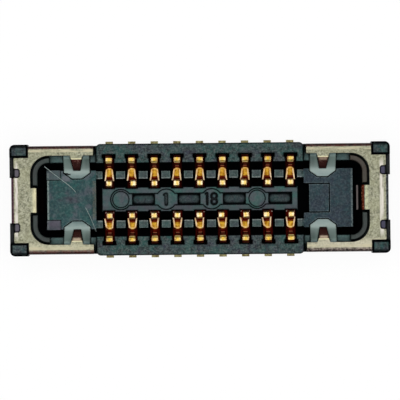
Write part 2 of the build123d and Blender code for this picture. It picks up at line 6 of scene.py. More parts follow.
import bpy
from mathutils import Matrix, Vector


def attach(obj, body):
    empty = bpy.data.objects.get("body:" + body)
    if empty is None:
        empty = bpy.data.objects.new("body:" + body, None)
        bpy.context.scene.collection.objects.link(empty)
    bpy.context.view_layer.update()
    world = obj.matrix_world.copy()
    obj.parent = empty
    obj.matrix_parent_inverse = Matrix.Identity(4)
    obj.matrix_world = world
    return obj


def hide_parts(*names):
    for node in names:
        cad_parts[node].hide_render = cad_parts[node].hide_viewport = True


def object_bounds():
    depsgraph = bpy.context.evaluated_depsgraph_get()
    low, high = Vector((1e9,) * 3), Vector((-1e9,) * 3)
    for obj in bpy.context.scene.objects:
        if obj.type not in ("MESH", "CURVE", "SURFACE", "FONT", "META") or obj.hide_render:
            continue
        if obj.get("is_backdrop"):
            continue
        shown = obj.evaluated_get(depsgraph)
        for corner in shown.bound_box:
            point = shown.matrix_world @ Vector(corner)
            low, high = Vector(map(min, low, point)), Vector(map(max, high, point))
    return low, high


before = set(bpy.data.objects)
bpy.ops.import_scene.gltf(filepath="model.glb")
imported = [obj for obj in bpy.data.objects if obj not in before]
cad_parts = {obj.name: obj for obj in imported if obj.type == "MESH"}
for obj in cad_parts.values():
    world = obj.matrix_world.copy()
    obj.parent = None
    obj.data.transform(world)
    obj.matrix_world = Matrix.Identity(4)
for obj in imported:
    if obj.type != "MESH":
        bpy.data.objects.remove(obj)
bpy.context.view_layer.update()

# %% [markdown]
# Blender works in metres, and this object is measured in hundredths of a millimetre. One
# name for a millimetre keeps every size below readable. The contacts of a row repeat at
# one pitch, so that distance has a name too.

# %% Units and tools
import math

import bpy
from mathutils import Vector

mm = 0.001
pitch = 0.35
scene = bpy.context.scene


def at(x, y, z):
    """A place given in millimetres."""
    return (x * mm, y * mm, z * mm)


print("Pitch of the contacts in mm:", pitch)

# %% [markdown]
# The camera looks straight down through a long lens, as the microscope did. The frame is
# 6.16 mm wide at the connector's top, and the connector lies turned by half a degree in it.
# The lens follows from the frame's width, the sensor and the distance.

# %% Camera
view_width = 6.163
view_height = 70.0
view_shift_y = -0.0182
view_roll = math.radians(-0.57)
top_height = 0.5
sensor = 36.0
nearest, farthest = 1 * mm, 10.0

camera_data = bpy.data.cameras.new("camera")
camera_data.sensor_width = sensor
camera_data.lens = sensor * view_height / view_width
camera_data.clip_start = nearest
camera_data.clip_end = farthest
camera = bpy.data.objects.new("camera", camera_data)
camera.location = at(0, view_shift_y, top_height + view_height)
camera.rotation_euler = (0, 0, view_roll)
scene.collection.objects.link(camera)
scene.camera = camera
scene.view_settings.view_transform = "Standard"
print("Lens in mm:", round(camera_data.lens, 1))

# %% [markdown]
# Shader maths reads best as plain sums. A small class wraps a node's output socket and
# turns + - * / into Math nodes, also where the number stands first, as in 1 - mask.

# %% Sums on sockets


class Value:
    """A node's output socket that is used in sums like a number."""

    def __init__(self, finish, socket):
        self.finish = finish
        self.socket = socket

    def math(self, operation, *values):
        return self.finish.math(operation, *values)

    def __add__(self, other):
        return self.math("ADD", self, other)

    def __radd__(self, other):
        return self.math("ADD", other, self)

    def __sub__(self, other):
        return self.math("SUBTRACT", self, other)

    def __rsub__(self, other):
        return self.math("SUBTRACT", other, self)

    def __mul__(self, other):
        return self.math("MULTIPLY", self, other)

    def __rmul__(self, other):
        return self.math("MULTIPLY", other, self)

    def __truediv__(self, other):
        return self.math("DIVIDE", self, other)

    def __rtruediv__(self, other):
        return self.math("DIVIDE", other, self)

    def __abs__(self):
        return self.math("ABSOLUTE", self)


# %% [markdown]
# Every material is made by the same short methods. The node method adds any node: the
# settings are set first, then the values or links of the sockets. This first class only
# builds nodes, mixes colours and shaders, and lays one tint over another as a painter
# would. A Mix node keeps the sockets of all its kinds, and those for colours have the
# numbers named here.

# %% Materials as code
mix_inputs = (6, 7)
mix_output = 2


class Material:
    """A material with a Principled shader, and the colour that is built up on it."""

    def __init__(self, name):
        self.material = bpy.data.materials.new(name)
        self.material.use_nodes = True
        self.tree = self.material.node_tree
        self.shader = self.tree.nodes["Principled BSDF"]
        self.glossy = Value(self, self.shader.outputs[0])
        self.body = None

    def node(self, kind, settings, *values, output=0, **named):
        """Any node; its sockets are given by order or by name."""
        node = self.tree.nodes.new(kind)
        for name, setting in settings.items():
            setattr(node, name, setting)
        for key, value in [*enumerate(values), *named.items()]:
            self.feed(node.inputs[key], value)
        return Value(self, node.outputs[output])

    def feed(self, socket, value):
        if isinstance(value, Value):
            self.tree.links.new(value.socket, socket)
        else:
            socket.default_value = value

    def math(self, operation, *values):
        return self.node("ShaderNodeMath", {"operation": operation}, *values)

    def set(self, **named):
        """Feeds the Principled shader's sockets, with _ for a blank in a name."""
        for name, value in named.items():
            self.feed(self.shader.inputs[name.replace("_", " ")], value)

    def mix(self, amount, first, second):
        """The first colour where the amount is 0, the second where it is 1."""
        mixed = self.node("ShaderNodeMix", {"data_type": "RGBA"}, amount, output=mix_output)
        for number, tint in zip(mix_inputs, (first, second)):
            self.feed(mixed.socket.node.inputs[number], tint)
        return mixed

    def paint(self, amount, tint):
        """Lays a tint over the body colour, fully where the amount is 1."""
        self.body = self.mix(amount, self.body, tint)

    def either(self, amount, first, second):
        """The first shader where the amount is 0, the second where it is 1."""
        return self.node("ShaderNodeMixShader", {}, amount, first, second)

    def show(self, shader):
        """Makes a shader the material's surface."""
        self.feed(self.tree.nodes["Material Output"].inputs["Surface"], shader)


def colour(red, green, blue):
    """A colour read off a screen, 0 to 255, as the linear one that a shader takes."""
    levels = [c / 255 for c in (red, green, blue)]
    linear = [c / 12.92 if c < 0.04045 else ((c + 0.055) / 1.055) ** 2.4 for c in levels]
    return (*linear, 1.0)


# %% [markdown]
# The second class adds the few patterns that several finishes share. They read the
# piece's own coordinates, in millimetres, so that they stay on the piece from every side.
# Most are masks, which are 1 where something shows and 0 elsewhere. The Bevel node rounds
# sharp edges in the shading, which keeps the thin metal's mesh as clean as the CAD's.

# %% Masks and patterns


class Finish(Material):
    """A material with the masks and patterns that feed it."""

    def __init__(self, name):
        super().__init__(name)
        place = self.node("ShaderNodeTexCoord", {}, output="Object")
        scale = (1 / mm,) * 3
        self.place = self.node("ShaderNodeMapping", {}, Vector=place, Scale=scale)

    def parts(self, vector):
        """The x, y and z of a vector."""
        split = self.node("ShaderNodeSeparateXYZ", {}, vector).socket.node
        return [Value(self, output) for output in split.outputs]

    def across(self):
        """The x, y and z of the place, in millimetres."""
        return self.parts(self.place)

    def upward(self, kind="True Normal"):
        """How far the surface faces up, from -1 to 1."""
        return self.parts(self.node("ShaderNodeNewGeometry", {}, output=kind))[2]

    def beside(self, x):
        """How far a place lies beside the middle of its contact."""
        return abs(x - self.math("ROUND", x / pitch) * pitch)

    def rise(self, value, low, high):
        """From 0 at one value to 1 at another, which may be the smaller one."""
        return self.node("ShaderNodeMapRange", {}, value, low, high)

    def between(self, value, low, high, soft):
        """1 where a value lies between two others, with soft borders."""
        return self.rise(value, low, low + soft) * self.rise(value, high, high - soft)

    def spot(self, across, along, outside, inside):
        """A soft round spot, from the distances to its middle measured in radii."""
        return self.rise(across * across + along * along, outside, inside)

    def largest(self, *values):
        top = values[0]
        for value in values[1:]:
            top = self.math("MAXIMUM", top, value)
        return top

    def noise(self, scale, detail=2.0, roughness=0.5, place=None):
        sockets = {"Scale": scale, "Detail": detail, "Roughness": roughness}
        return self.node("ShaderNodeTexNoise", {}, Vector=place or self.place, **sockets)

    def stretched(self, x_scale, y_scale):
        """The place with its x and y scaled, for noise that runs in streaks."""
        scale = (x_scale, y_scale, 1)
        return self.node("ShaderNodeMapping", {}, Vector=self.place, Scale=scale)

    def rounded(self, reach):
        """Normals of the surface as if its sharp edges were rounded off."""
        return self.node("ShaderNodeBevel", {"samples": 6}, reach * mm)

    def edges(self, reach):
        """How near a sharp edge is: above 0 within a reach given in millimetres."""
        soft = self.rounded(reach)
        plain = self.node("ShaderNodeNewGeometry", {}, output="Normal")
        dot = {"operation": "DOT_PRODUCT"}
        return 1 - self.node("ShaderNodeVectorMath", dot, soft, plain, output="Value")

    def relief(self, height, depth, reach):
        """Fine relief of a height from 0 to 1 over rounded edges, sizes in millimetres."""
        sockets = {"Height": height, "Distance": depth * mm, "Normal": self.rounded(reach)}
        self.set(Normal=self.node("ShaderNodeBump", {}, **sockets))

    def dulled(self, amount, tint):
        """Lets the surface go matt, in the given tint, where the amount is 1."""
        sockets = {"Base Color": tint, "Roughness": 1.0, "Specular IOR Level": 0.0}
        matt = self.node("ShaderNodeBsdfPrincipled", {}, **sockets)
        self.show(self.either(amount, self.glossy, matt))
        print(self.material.name, "has", len(self.tree.nodes), "nodes")


# %% [markdown]
# The moulding is a glass-filled plastic, slate in colour. Close up it is mottled: cool
# teal and warmer purple areas, pale specks of glass fibre and a fine grain. A picture
# could carry all that, but noise needs no file and fits the piece from every side. So the
# colour is built up in layers. The island's top is calmer than the walls.

# %% Moulding: mottled body
island_level = (0.44, 0.51)

slate = Finish("slate_plastic")
x, y, z = slate.across()
up = slate.upward()
aside, out = abs(x), abs(y)
island = slate.between(z, *island_level, 0.005) * slate.rise(out, 0.30, 0.29)
areas = slate.rise(slate.noise(4.5, 2), 0.42, 0.60)
clouds = slate.rise(slate.noise(12, 3, 0.6), 0.36, 0.66)
stains = slate.rise(slate.noise(17, 3, 0.6), 0.56, 0.38)
grain = slate.rise(slate.noise(38, 3, 0.6), 0.46, 0.70)

slate.body = slate.mix(areas, colour(0, 64, 60), colour(34, 34, 52))
slate.paint(clouds * 0.72, colour(56, 78, 73))
slate.paint(stains * (0.75 - island * 0.4), colour(2, 8, 11))
slate.paint(grain * (0.65 - island * 0.3), colour(96, 106, 104))
slate.paint(0.20, colour(6, 12, 16))

# %% [markdown]
# The island between the rows is a little lighter, in faint teal and purple hues, and
# browner along its lower border. Its form is in the CAD solid, so its height above the
# board is enough to find it by, and the same goes for the moulding's other levels.

# %% Moulding: island
island_top = (0.49, 0.51)

slate.paint(island * 0.15, colour(88, 112, 108))
hue = slate.rise(slate.noise(6, 2), 0.40, 0.58)
slate.paint(island * 0.22, slate.mix(hue, colour(36, 96, 88), colour(84, 70, 90)))
lower = slate.between(z, *island_top, 0.004) * island * slate.rise(y, -0.08, -0.12)
slate.paint(lower * 0.4, colour(46, 40, 48))

# %% [markdown]
# Low ribs part the contacts. Their edges get painted pale highlights, most of all on the
# side next to the island. A mask of sharp edges, broken up by noise, carries the painted
# highlights.

# %% Moulding: ribs
rib_level = (0.17, 0.21)
row_end = (1.58, 1.57)
edge_highlight = colour(146, 154, 150)

bend = slate.edges(0.032)
low = slate.between(z, *rib_level, 0.005)
edge_breakup = slate.rise(slate.noise(30, 2), 0.35, 0.60)
# Painted highlights: pale lines along the sharp edges of the low faces, broken up by noise.
slate.paint(slate.rise(bend, 0.06, 0.20) * low * edge_breakup * 0.8, colour(146, 162, 160))
ribs = low * slate.rise(aside, *row_end)
# Painted highlights along the ribs' edges, strongest on the side next to the island.
inner_edge = ribs * slate.between(out, 0.314, 0.342, 0.006)
slate.paint(inner_edge * (edge_breakup * 0.6 + 0.2), edge_highlight)
outer_edge = ribs * slate.rise(out, 0.428, 0.440)
slate.paint(outer_edge * edge_breakup * 0.5, edge_highlight)
slate.paint(ribs * 0.14, colour(112, 134, 132))

# %% [markdown]
# The platforms at the ends lie as low as the ribs. The left one has a teal cast and mauve
# clouds, the right one is navy, both get a painted highlight along their outer edge, and
# both are dusty.

# %% Moulding: platforms
left = slate.rise(x, -1.60, -1.61) * low
right = slate.rise(x, 1.60, 1.61) * low
slate.paint(left * 0.30, colour(0, 88, 88))
mauve = slate.rise(slate.noise(6, 3), 0.50, 0.62)
slate.paint(left * mauve * 0.55, colour(80, 80, 90))
# Painted highlight along the platforms' outer edge, broken up by noise.
painted_edge = slate.between(aside, 2.330, 2.370, 0.010) * low * slate.rise(edge_breakup, 0.0, 0.5)
slate.paint(painted_edge * 0.9, colour(126, 142, 138))
slate.paint(right * 0.45, colour(12, 38, 58))
dust = slate.rise(slate.noise(24, 4, 0.7), 0.52, 0.40)
slate.paint((left * 0.4 + right * 0.6) * dust, colour(14, 30, 36))

# %% [markdown]
# The ledges round the end cavities are lighter than the walls, and the floors of the four
# pockets in the island are painted darker, as shade in their recesses.

# %% Moulding: ledges and pockets
ledge_level = (0.41, 0.43)
pocket_level = (0.40, 0.42)

ledge = slate.between(z, *ledge_level, 0.004) * slate.rise(out, 0.50, 0.51)
slate.paint(ledge * 0.40, colour(80, 108, 106))
pocket_shade = slate.between(z, *pocket_level, 0.004) * slate.rise(out, 0.15, 0.14)
# Painted shade on the pocket floors.
slate.paint(pocket_shade * 0.5, colour(16, 30, 36))

# %% [markdown]
# The left platform has two slightly lowered pads in its corners, a pale patch on one of
# them, a pale strip next to the island and a dark smudge in the middle. Dirt is uneven, so
# the smudge is thinned and darkened by the same noise as the plastic.

# %% Moulding: pads and dirt on the left platform
pad_level = (0.175, 0.185)

pads = slate.between(z, *pad_level, 0.002) * slate.rise(x, -2.0, -2.1)
pad_tint = slate.mix(slate.rise(y, 0.0, 0.1), colour(80, 72, 86), colour(84, 90, 94))
slate.paint(pads * (clouds * 0.25 + 0.45), pad_tint)
patch = slate.spot((x + 2.075) / 0.07, (y - 0.335) / 0.05, 1.2, 0.4) * low
slate.paint(patch * 0.6, colour(104, 102, 110))
strip = low * slate.between(x, -1.665, -1.595, 0.01) * slate.rise(out, 0.30, 0.28)
slate.paint(strip * edge_breakup * 0.35, colour(120, 112, 92))
smudge = slate.spot((x + 2.01) / 0.24, y / 0.065, 1.0, 0.0) * low
slate.paint(smudge * (clouds * 0.5 + 0.3), colour(70, 68, 78))
slate.paint(smudge * stains * 0.8, colour(20, 22, 34))

# %% [markdown]
# The curved guide ribs are olive grey, the upper right one warmer, and the small bosses at
# the connector's ends are purple grey, with painted shade, nearly black, on their outer
# face.

# %% Moulding: guide ribs and bosses
guide_level = (0.53, 0.56)

cavity = slate.between(aside, 1.7, 2.6, 0.01)
guides = slate.between(z, *guide_level, 0.005) * cavity
warm = slate.rise(x, 0, 1) * slate.rise(y, 0, 0.1)
slate.paint(guides * 0.8, slate.mix(warm, colour(48, 53, 50), colour(62, 54, 44)))
ends = slate.rise(aside, 2.77, 2.78) * slate.rise(out, 0.66, 0.65)
purple = slate.mix(slate.rise(x, 0, 1), colour(82, 77, 86), colour(56, 54, 74))
# Painted shade: the bosses' outer face is nearly black.
slate.paint(ends, slate.mix(slate.rise(aside, 2.84, 2.85), purple, colour(6, 9, 14)))

# %% [markdown]
# Sunk numerals mark the first and the last contact. They are painted darker than the
# island, as shade in their recesses, the pair of digits more so than the thin single one.
# With its colour complete, the plastic gets a half-matt gloss and a very fine relief.

# %% Moulding: numerals and gloss
numeral_level = (0.443, 0.457)

numerals = slate.between(z, *numeral_level, 0.003) * island
pair = slate.rise(x, -0.3, -0.2)
# Painted shade in the sunk numerals.
slate.paint(numerals * (0.45 + pair * 0.4), colour(4, 14, 16))

slate.set(Base_Color=slate.body, Roughness=0.42 + slate.noise(30) * 0.2)
slate.set(Specular_IOR_Level=0.2)
slate.relief(slate.noise(50, 3, 0.6), 0.0025, 0.006)

# %% [markdown]
# Under the microscope most edges of the plastic have a black outline of shade, and that
# shade is painted in. The painted outlines follow the sharp edges, but spare the ribs and
# the guides, and are weaker on the island's border and the walls' teeth. The posts' rims
# and the pads' borders are drawn by their places.

# %% Moulding: painted shade along the edges
border = slate.largest(slate.rise(out, 0.160, 0.170), slate.rise(aside, 1.49, 1.50))
teeth = slate.between(out, 0.550, 0.590, 0.005) * slate.rise(aside, 1.60, 1.59)
border = slate.largest(island * border, teeth)
spared = slate.largest(low, guides, border * 0.6)
posts = slate.rise(z, 0.55, 0.56) * slate.rise(aside, 2.6, 2.61)
rims = slate.largest(slate.rise(out, 0.795, 0.815), slate.rise(aside, 2.880, 2.895))
pad_end = slate.between(x, -2.162, -2.146, 0.004) * slate.between(out, 0.302, 0.46, 0.004)
pad_side = slate.between(x, -2.370, -2.146, 0.004) * slate.between(out, 0.300, 0.318, 0.004)
shaded_outlines = slate.rise(bend, 0.01, 0.10) * (1 - spared)
shaded_outlines = slate.largest(shaded_outlines, posts * rims, pad_end, pad_side)

# %% [markdown]
# Deep in the channels the plastic hardly throws any light back. Beside the contacts it
# shows a painted copper red, a painted reflection of the gold, and a few painted glints sit
# by the lower row's tips. Light paths alone leave the channels too bright, so the shade is
# painted in: the steep, low and closed-in faces are made matt and nearly black. The
# connector's own sides and its underside are in the open and stay plain.

# %% Moulding: painted shade in the channels
open_reach = 0.07 * mm

occlusion = {"samples": 8}
near = slate.node("ShaderNodeAmbientOcclusion", occlusion, Distance=open_reach, output="AO")
open_air = slate.largest(slate.rise(near, 0.40, 0.75), pads)
raised = slate.rise(z, 0.10, 0.17)
level = slate.largest(slate.rise(up, 0.70, 0.97), guides * 0.8)
dark = 1 - open_air * raised * level * (1 - shaded_outlines * 0.85)
outer = slate.largest(slate.rise(out, 0.780, 0.785), slate.rise(aside, 2.860, 2.865))
shown = slate.largest(outer * slate.rise(up, 0.60, 0.40), slate.rise(up, -0.4, -0.6))

beside = slate.beside(x)
in_rows = slate.rise(aside, 1.50, 1.48)
glow = slate.rise(beside, 0.080, 0.052) * slate.between(out, 0.17, 0.68, 0.02) * in_rows
copper_reflection = slate.mix(slate.rise(y, 0, -0.1), colour(58, 12, 5), colour(96, 18, 7))
# Painted shade, nearly black, with a painted copper reflection beside the contacts.
tint = slate.mix(glow, colour(3, 4, 5), copper_reflection)
# Painted glints by the lower row's tips.
ragged = (slate.noise(70, 2) - 0.5) * 0.03
off_x, off_y = (beside - 0.060 + ragged) / 0.009, (y + 0.200 - ragged) / 0.012
painted_glint = slate.spot(off_x, off_y, 1.0, 0.4)
painted_glint = painted_glint * in_rows * slate.rise(slate.noise(9, 1), 0.46, 0.50)
tint = slate.mix(painted_glint, tint, colour(196, 178, 166))
slate.dulled(dark * (1 - shown * 0.9), tint)

# %% [markdown]
# The contacts are stamped copper alloy, gold-plated over nickel. Each one has a sprung tip
# beside the island, a trough along its floor with bright rims and a rounded end, a fold in
# the wall's gap and a solder tail outside. The plating is one material for all of them,
# because they come off one strip, and the places across and along tell its parts apart.

# %% Contacts: gold of the trough, and painted highlights on its rims
gold = Finish("gold_plating")
x, y, z = gold.across()
up = gold.upward()
out = abs(y)
beside = gold.beside(x)
high = gold.rise(z, 0.20, 0.25)
tail = gold.rise(out, 0.80, 0.84)
tone = gold.rise(gold.noise(22, 3, 0.6), 0.38, 0.64)
trough = out + gold.largest(beside - 0.020, 0.0) * 0.8 + gold.rise(y, 0.1, -0.1) * 0.028
trough = trough + 0.004
rims = gold.largest(gold.between(trough, 0.465, 0.490, 0.01), gold.rise(z, 0.110, 0.120))

floor_gold = gold.mix(tone, colour(144, 86, 8), colour(212, 162, 52))
middle = gold.rise(beside, 0.024, 0.004)
floor_gold = gold.mix(middle * 0.35, floor_gold, colour(236, 190, 72))
# The rims' pale gold is partly a painted highlight, where the raised edges catch the light.
rim_gold_highlight = gold.mix(tone, colour(214, 156, 74), colour(238, 198, 126))
pale_gold_highlight = gold.mix(tone, colour(230, 190, 136), colour(248, 226, 190))
rim_gold_highlight = gold.mix(gold.rise(out, 0.47, 0.38), rim_gold_highlight, pale_gold_highlight)
gold.body = gold.mix(rims, floor_gold, rim_gold_highlight)

# %% [markdown]
# The high tips and folds are painted cream, the folds deeper in colour, and this is partly
# a painted highlight where their tops face the light. The solder tails are dull. High and
# low parts also differ in gloss.

# %% Contacts: tips, folds and tails
tip_gold = gold.mix(tone, colour(192, 166, 112), colour(234, 220, 182))
fold_gold = gold.mix(tone, colour(150, 118, 58), colour(206, 184, 126))
cream_with_highlight = gold.mix(gold.rise(out, 0.40, 0.50), tip_gold, fold_gold)
middle = gold.rise(beside, 0.028, 0.006)
# Partly a painted highlight on the high tips and folds, yellow in the middle.
gold.paint(high, gold.mix(middle * 0.7, cream_with_highlight, colour(200, 164, 48)))
gold.paint(tail, gold.mix(tone, colour(104, 92, 58), colour(160, 154, 112)))

gold.set(Base_Color=gold.body, Metallic=1.0)
gold.set(Roughness=0.24 + gold.noise(40) * 0.10 + tail * 0.2 + high * 0.14)
gold.relief(gold.noise(60, 2), 0.0008, 0.003)

# %% [markdown]
# From above, the steep and sheared faces are in shade and look red and matt. They could be
# left to the light, but a plain metal would only mirror the dark channel there. So this
# shade is painted in, red and matt, where masks name the faces one by one: the neck between
# trough and fold, the inner slope and the floor below the tip, the steep faces, the fold's
# far side, and the edges. A spot whose distances are squared once more comes out nearly
# square, as the top of the fold is.

# %% Contacts: where red shade is painted
# Masks of the faces where red shade is painted.
neck = gold.rise(trough, 0.486, 0.496) * gold.rise(out, 0.568, 0.558)
inner = gold.between(out, 0.270, 0.345, 0.01) * gold.rise(z, 0.21, 0.18)
inner = inner * gold.rise(up, 0.98, 0.92)
level = gold.rise(out, 0.362, 0.354) * gold.rise(z, 0.116, 0.112) * (1 - inner)
off_x, off_y = beside / 0.058, (out - 0.593) / 0.048
beyond = gold.spot(off_x * off_x, off_y * off_y, 0.8, 1.5)
beyond = beyond * high * gold.rise(out, 0.50, 0.51)
steep = gold.rise(up, 0.80, 0.35) * (1 - tail)
# Painted shade along the edges of the high parts and the rims.
painted_edge = gold.rise(gold.edges(0.024), 0.01, 0.12) * (high * 0.9 + rims * 0.30)
red = gold.largest(neck, inner, level, steep, beyond, painted_edge)

# %% [markdown]
# The painted shade differs from face to face: brown on the neck with a painted highlight or
# two across it, orange on the slope as a painted reflection of the gold around it, nearly
# black behind the fold and on the outer legs, which are in the dark. A thin painted
# highlight runs along the fold's top.

# %% Contacts: tones of the painted shade
lengthwise = gold.stretched(0.1, 1)
streaks = gold.rise(gold.noise(60, 1, place=lengthwise), 0.52, 0.70)
# Painted highlights across the neck.
neck_highlights = gold.between(out, 0.504, 0.524, 0.008)
neck_highlights = neck_highlights + gold.between(out, 0.535, 0.545, 0.005) * 0.4
neck_highlights = neck_highlights * gold.rise(beside, 0.034, 0.022) * neck
tint = gold.mix(inner, colour(92, 16, 6), colour(238, 92, 40))
tint = gold.mix(level, tint, colour(124, 44, 16))
tint = gold.mix(beyond, tint, colour(38, 8, 4))
tint = gold.mix(neck * gold.rise(beside, 0.026, 0.044) * 0.8, tint, colour(12, 3, 2))
tint = gold.mix(gold.largest(streaks * 0.1, neck_highlights * 0.75), tint, colour(216, 128, 94))
# Painted highlight along the fold's top.
lit = gold.between(out, 0.560, 0.590, 0.006) * high * gold.rise(beside, 0.046, 0.036)
tint = gold.mix(lit, tint, colour(255, 230, 150))
# Painted shade on the outer legs.
leg = gold.rise(out, 0.56, 0.57) * gold.rise(z, 0.34, 0.28) * (1 - tail)
tint = gold.mix(leg, tint, colour(8, 4, 4))
gold.dulled(gold.largest(red, leg), tint)

# %% [markdown]
# The power leaves are nickel-plated, smooth and cool grey. Their forked legs bend down
# into the groove. The light on their sloped faces, on the bights of the right ones and on
# the low ends is painted in, and so is a dark shade along their edges. The legs next to the
# rows are darker. A rough surface that is not quite all metal gives the satin.

# %% Leaves: satin nickel
satin = Finish("satin_nickel")
x, y, z = satin.across()
up = satin.upward("Normal")
out, aside = abs(y), abs(x)
tone = satin.rise(satin.noise(9, 3), 0.35, 0.65)
satin.body = satin.mix(tone, colour(90, 111, 110), colour(112, 127, 125))
# Painted light on the sloped faces and on the right leaves' bights.
satin.paint(satin.rise(up, 1.0, 0.72), colour(162, 184, 176))
bight = satin.rise(out, 0.44, 0.40) * satin.rise(x, 0, 1)
satin.paint(bight * 0.35, colour(168, 180, 178))
inward = satin.rise(aside, 1.80, 1.75) * satin.rise(out, 0.44, 0.54)
satin.paint(inward * 0.4, colour(58, 72, 70))
# Painted light on the low ends.
low_end = satin.rise(z, 0.46, 0.24) * satin.rise(up, 0.995, 0.85)
satin.paint(low_end * 0.5, colour(208, 222, 218))
# Painted shade along the edges.
satin.paint(satin.rise(satin.edges(0.020), 0.01, 0.12) * 0.7, colour(30, 42, 40))

# %% [markdown]
# A black crumb lies along the slanted corner of the upper left leaf. It is too flat for a
# piece of its own, so it is a ragged spot in the colour.

# %% Leaves: crumb and gloss
ragged = (satin.noise(40, 3, 0.7) - 0.5) * 0.05
slanted = (y + x * 0.2 + 0.008 + ragged) / 0.014
crumb = satin.spot((x + 2.060) / 0.068, slanted, 1.1, 0.8)
satin.paint(crumb, colour(6, 10, 12))
satin.set(Base_Color=satin.body, Metallic=0.8)
satin.set(Roughness=0.62 + satin.noise(50) * 0.10)
satin.relief(satin.noise(80, 2), 0.0006, 0.006)
print(satin.material.name, "has", len(satin.tree.nodes), "nodes")

# %% [markdown]
# The end fittings are folded from plated sheet. Their plating is matt and grainy, with a
# warm champagne tone, and brighter towards the lower corners.

# %% Fittings: champagne nickel
champagne = Finish("champagne_nickel")
x, y, z = champagne.across()
up = champagne.upward()
aside, out = abs(x), abs(y)
grain = champagne.noise(34, 4, 0.7)
tone = champagne.rise(grain, 0.34, 0.66)
champagne.body = champagne.mix(tone, colour(76, 76, 62), colour(150, 150, 130))
patches = champagne.rise(champagne.noise(5, 3), 0.40, 0.62)
champagne.paint(patches * 0.35, colour(128, 128, 102))
bright = champagne.rise(x, 1.4, 2.0) * champagne.rise(y, -0.60, -0.68)
champagne.paint(bright * 0.36, colour(192, 184, 164))
bright = champagne.rise(x, -1.4, -2.0) * champagne.rise(y, -0.62, -0.70)
champagne.paint(bright * 0.25, colour(192, 188, 160))

# %% [markdown]
# The bends along the edges catch the light, and that highlight is painted in, in streaks
# that run along them. Noise that is stretched one way gives such streaks. The lips that
# fold down into the cavity get a painted highlight as well, and so do the roots of the
# guide tongues.

# %% Fittings: painted highlights on bends, lips and roots
tongue_place = 1.9

lengthwise = champagne.noise(30, 3, place=champagne.stretched(0.15, 1))
crosswise = champagne.noise(30, 3, place=champagne.stretched(1, 0.15))
brink = out + champagne.rise(y, 0.1, -0.1) * 0.018
# Painted highlights along the bends.
side = champagne.between(brink, 0.735, 0.785, 0.01) * champagne.rise(lengthwise, 0.36, 0.60)
champagne.paint(side, colour(158, 152, 128))
left_end = champagne.between(x, -2.853, -2.800, 0.008)
right_end = champagne.between(x, 2.760, 2.835, 0.02)
# Painted highlights on the fittings' ends, in streaks.
highlight_streaks = champagne.rise(crosswise, 0.30, 0.52)
end = champagne.largest(left_end, right_end) * highlight_streaks * champagne.rise(out, 0.62, 0.50)
champagne.paint(end, colour(178, 173, 164))

# Painted highlights on the lips and the tongues' roots.
lips = champagne.rise(aside, 2.62, 2.60) * champagne.rise(out, 0.21, 0.20)
left_lip = lips * champagne.rise(x, -2.0, -2.1)
lip_highlight = left_lip * champagne.rise(x, -2.590, -2.555) * highlight_streaks
off_tongue = abs(aside - tongue_place)
lit_roots = champagne.between(out, 0.622, 0.646, 0.006) * champagne.rise(off_tongue, 0.14, 0.12)
champagne.paint(champagne.largest(lip_highlight, lit_roots) * 0.8, colour(186, 180, 146))
right_lip_highlight = lips * champagne.between(x, 2.530, 2.595, 0.02)
champagne.paint(right_lip_highlight * (tone * 0.5 + 0.2), colour(172, 174, 142))

# %% [markdown]
# Folded faces turn away from the light, and their shade is painted in, purple brown in
# patches of red. The painted shade differs by place: darker at the brink, speckled at the
# lower right, violet on the left end and navy on the right one. The flat flanks below the
# folds are champagne again. The edges get a painted shade as well.

# %% Fittings: painted shade on folded faces
red = champagne.rise(champagne.noise(14, 3), 0.45, 0.60)
shade_tint = champagne.mix(tone, colour(30, 20, 24), colour(104, 84, 80))
shade_tint = champagne.mix(red * 0.5, shade_tint, colour(100, 50, 42))
at_brink = champagne.rise(out, 0.775, 0.785)
shade_tint = champagne.mix(at_brink * 0.35, shade_tint, colour(18, 14, 16))
speckles = champagne.rise(grain, 0.46, 0.54)
speckled = champagne.mix(speckles, colour(28, 24, 26), colour(120, 110, 104))
lower_right = champagne.rise(x, 1.4, 1.5) * champagne.rise(y, -0.76, -0.77)
shade_tint = champagne.mix(lower_right * 0.8, shade_tint, speckled)
violet = champagne.mix(tone, colour(44, 22, 34), colour(118, 88, 104))
shade_tint = champagne.mix(champagne.rise(x, -2.84, -2.85) * 0.7, shade_tint, violet)
specks = champagne.rise(grain, 0.46, 0.56)
navy = champagne.mix(specks, colour(16, 26, 34), colour(104, 118, 124))
shade_tint = champagne.mix(champagne.rise(x, 2.84, 2.85) * 0.8, shade_tint, navy)

outer = champagne.rise(out, 0.78, 0.79)
outer = champagne.largest(outer, champagne.rise(aside, 2.85, 2.86))
flanks = outer * champagne.rise(z, 0.50, 0.44)
folded = champagne.rise(up, 0.995, 0.975) * (1 - champagne.largest(left_lip, lit_roots, flanks))
# Painted shade at the brink and on the folded faces.
champagne.paint(champagne.rise(brink, 0.784, 0.790) * (1 - flanks) * 0.8, shade_tint)
champagne.paint(folded, shade_tint)
# Painted shade along the edges.
shaded_edges = champagne.rise(champagne.edges(0.014), 0.01, 0.12)
champagne.paint(shaded_edges * 0.5, colour(60, 44, 40))
champagne.set(Base_Color=champagne.body, Metallic=1.0)
champagne.set(Roughness=0.30 + grain * 0.2)
champagne.relief(grain, 0.005, 0.010)

# %% [markdown]
# Hardly any light reaches down the lips, so their shade is painted in, matt and nearly
# black. The right one still shows its bend, a painted brown shade with painted glints, and
# its grey foot.

# %% Fittings: lips in the dark
deep = champagne.rise(z, 0.48, 0.40)
deep = champagne.largest(deep, left_lip * champagne.rise(x, -2.528, -2.512))
slope = champagne.rise(up, 0.99, 0.95) * champagne.rise(x, 2.0, 2.1)
glints = champagne.rise(champagne.noise(46, 4, 0.75), 0.54, 0.66)
bend = champagne.between(x, 2.478, 2.526, 0.01)
foot = champagne.between(x, 2.418, 2.452, 0.008)
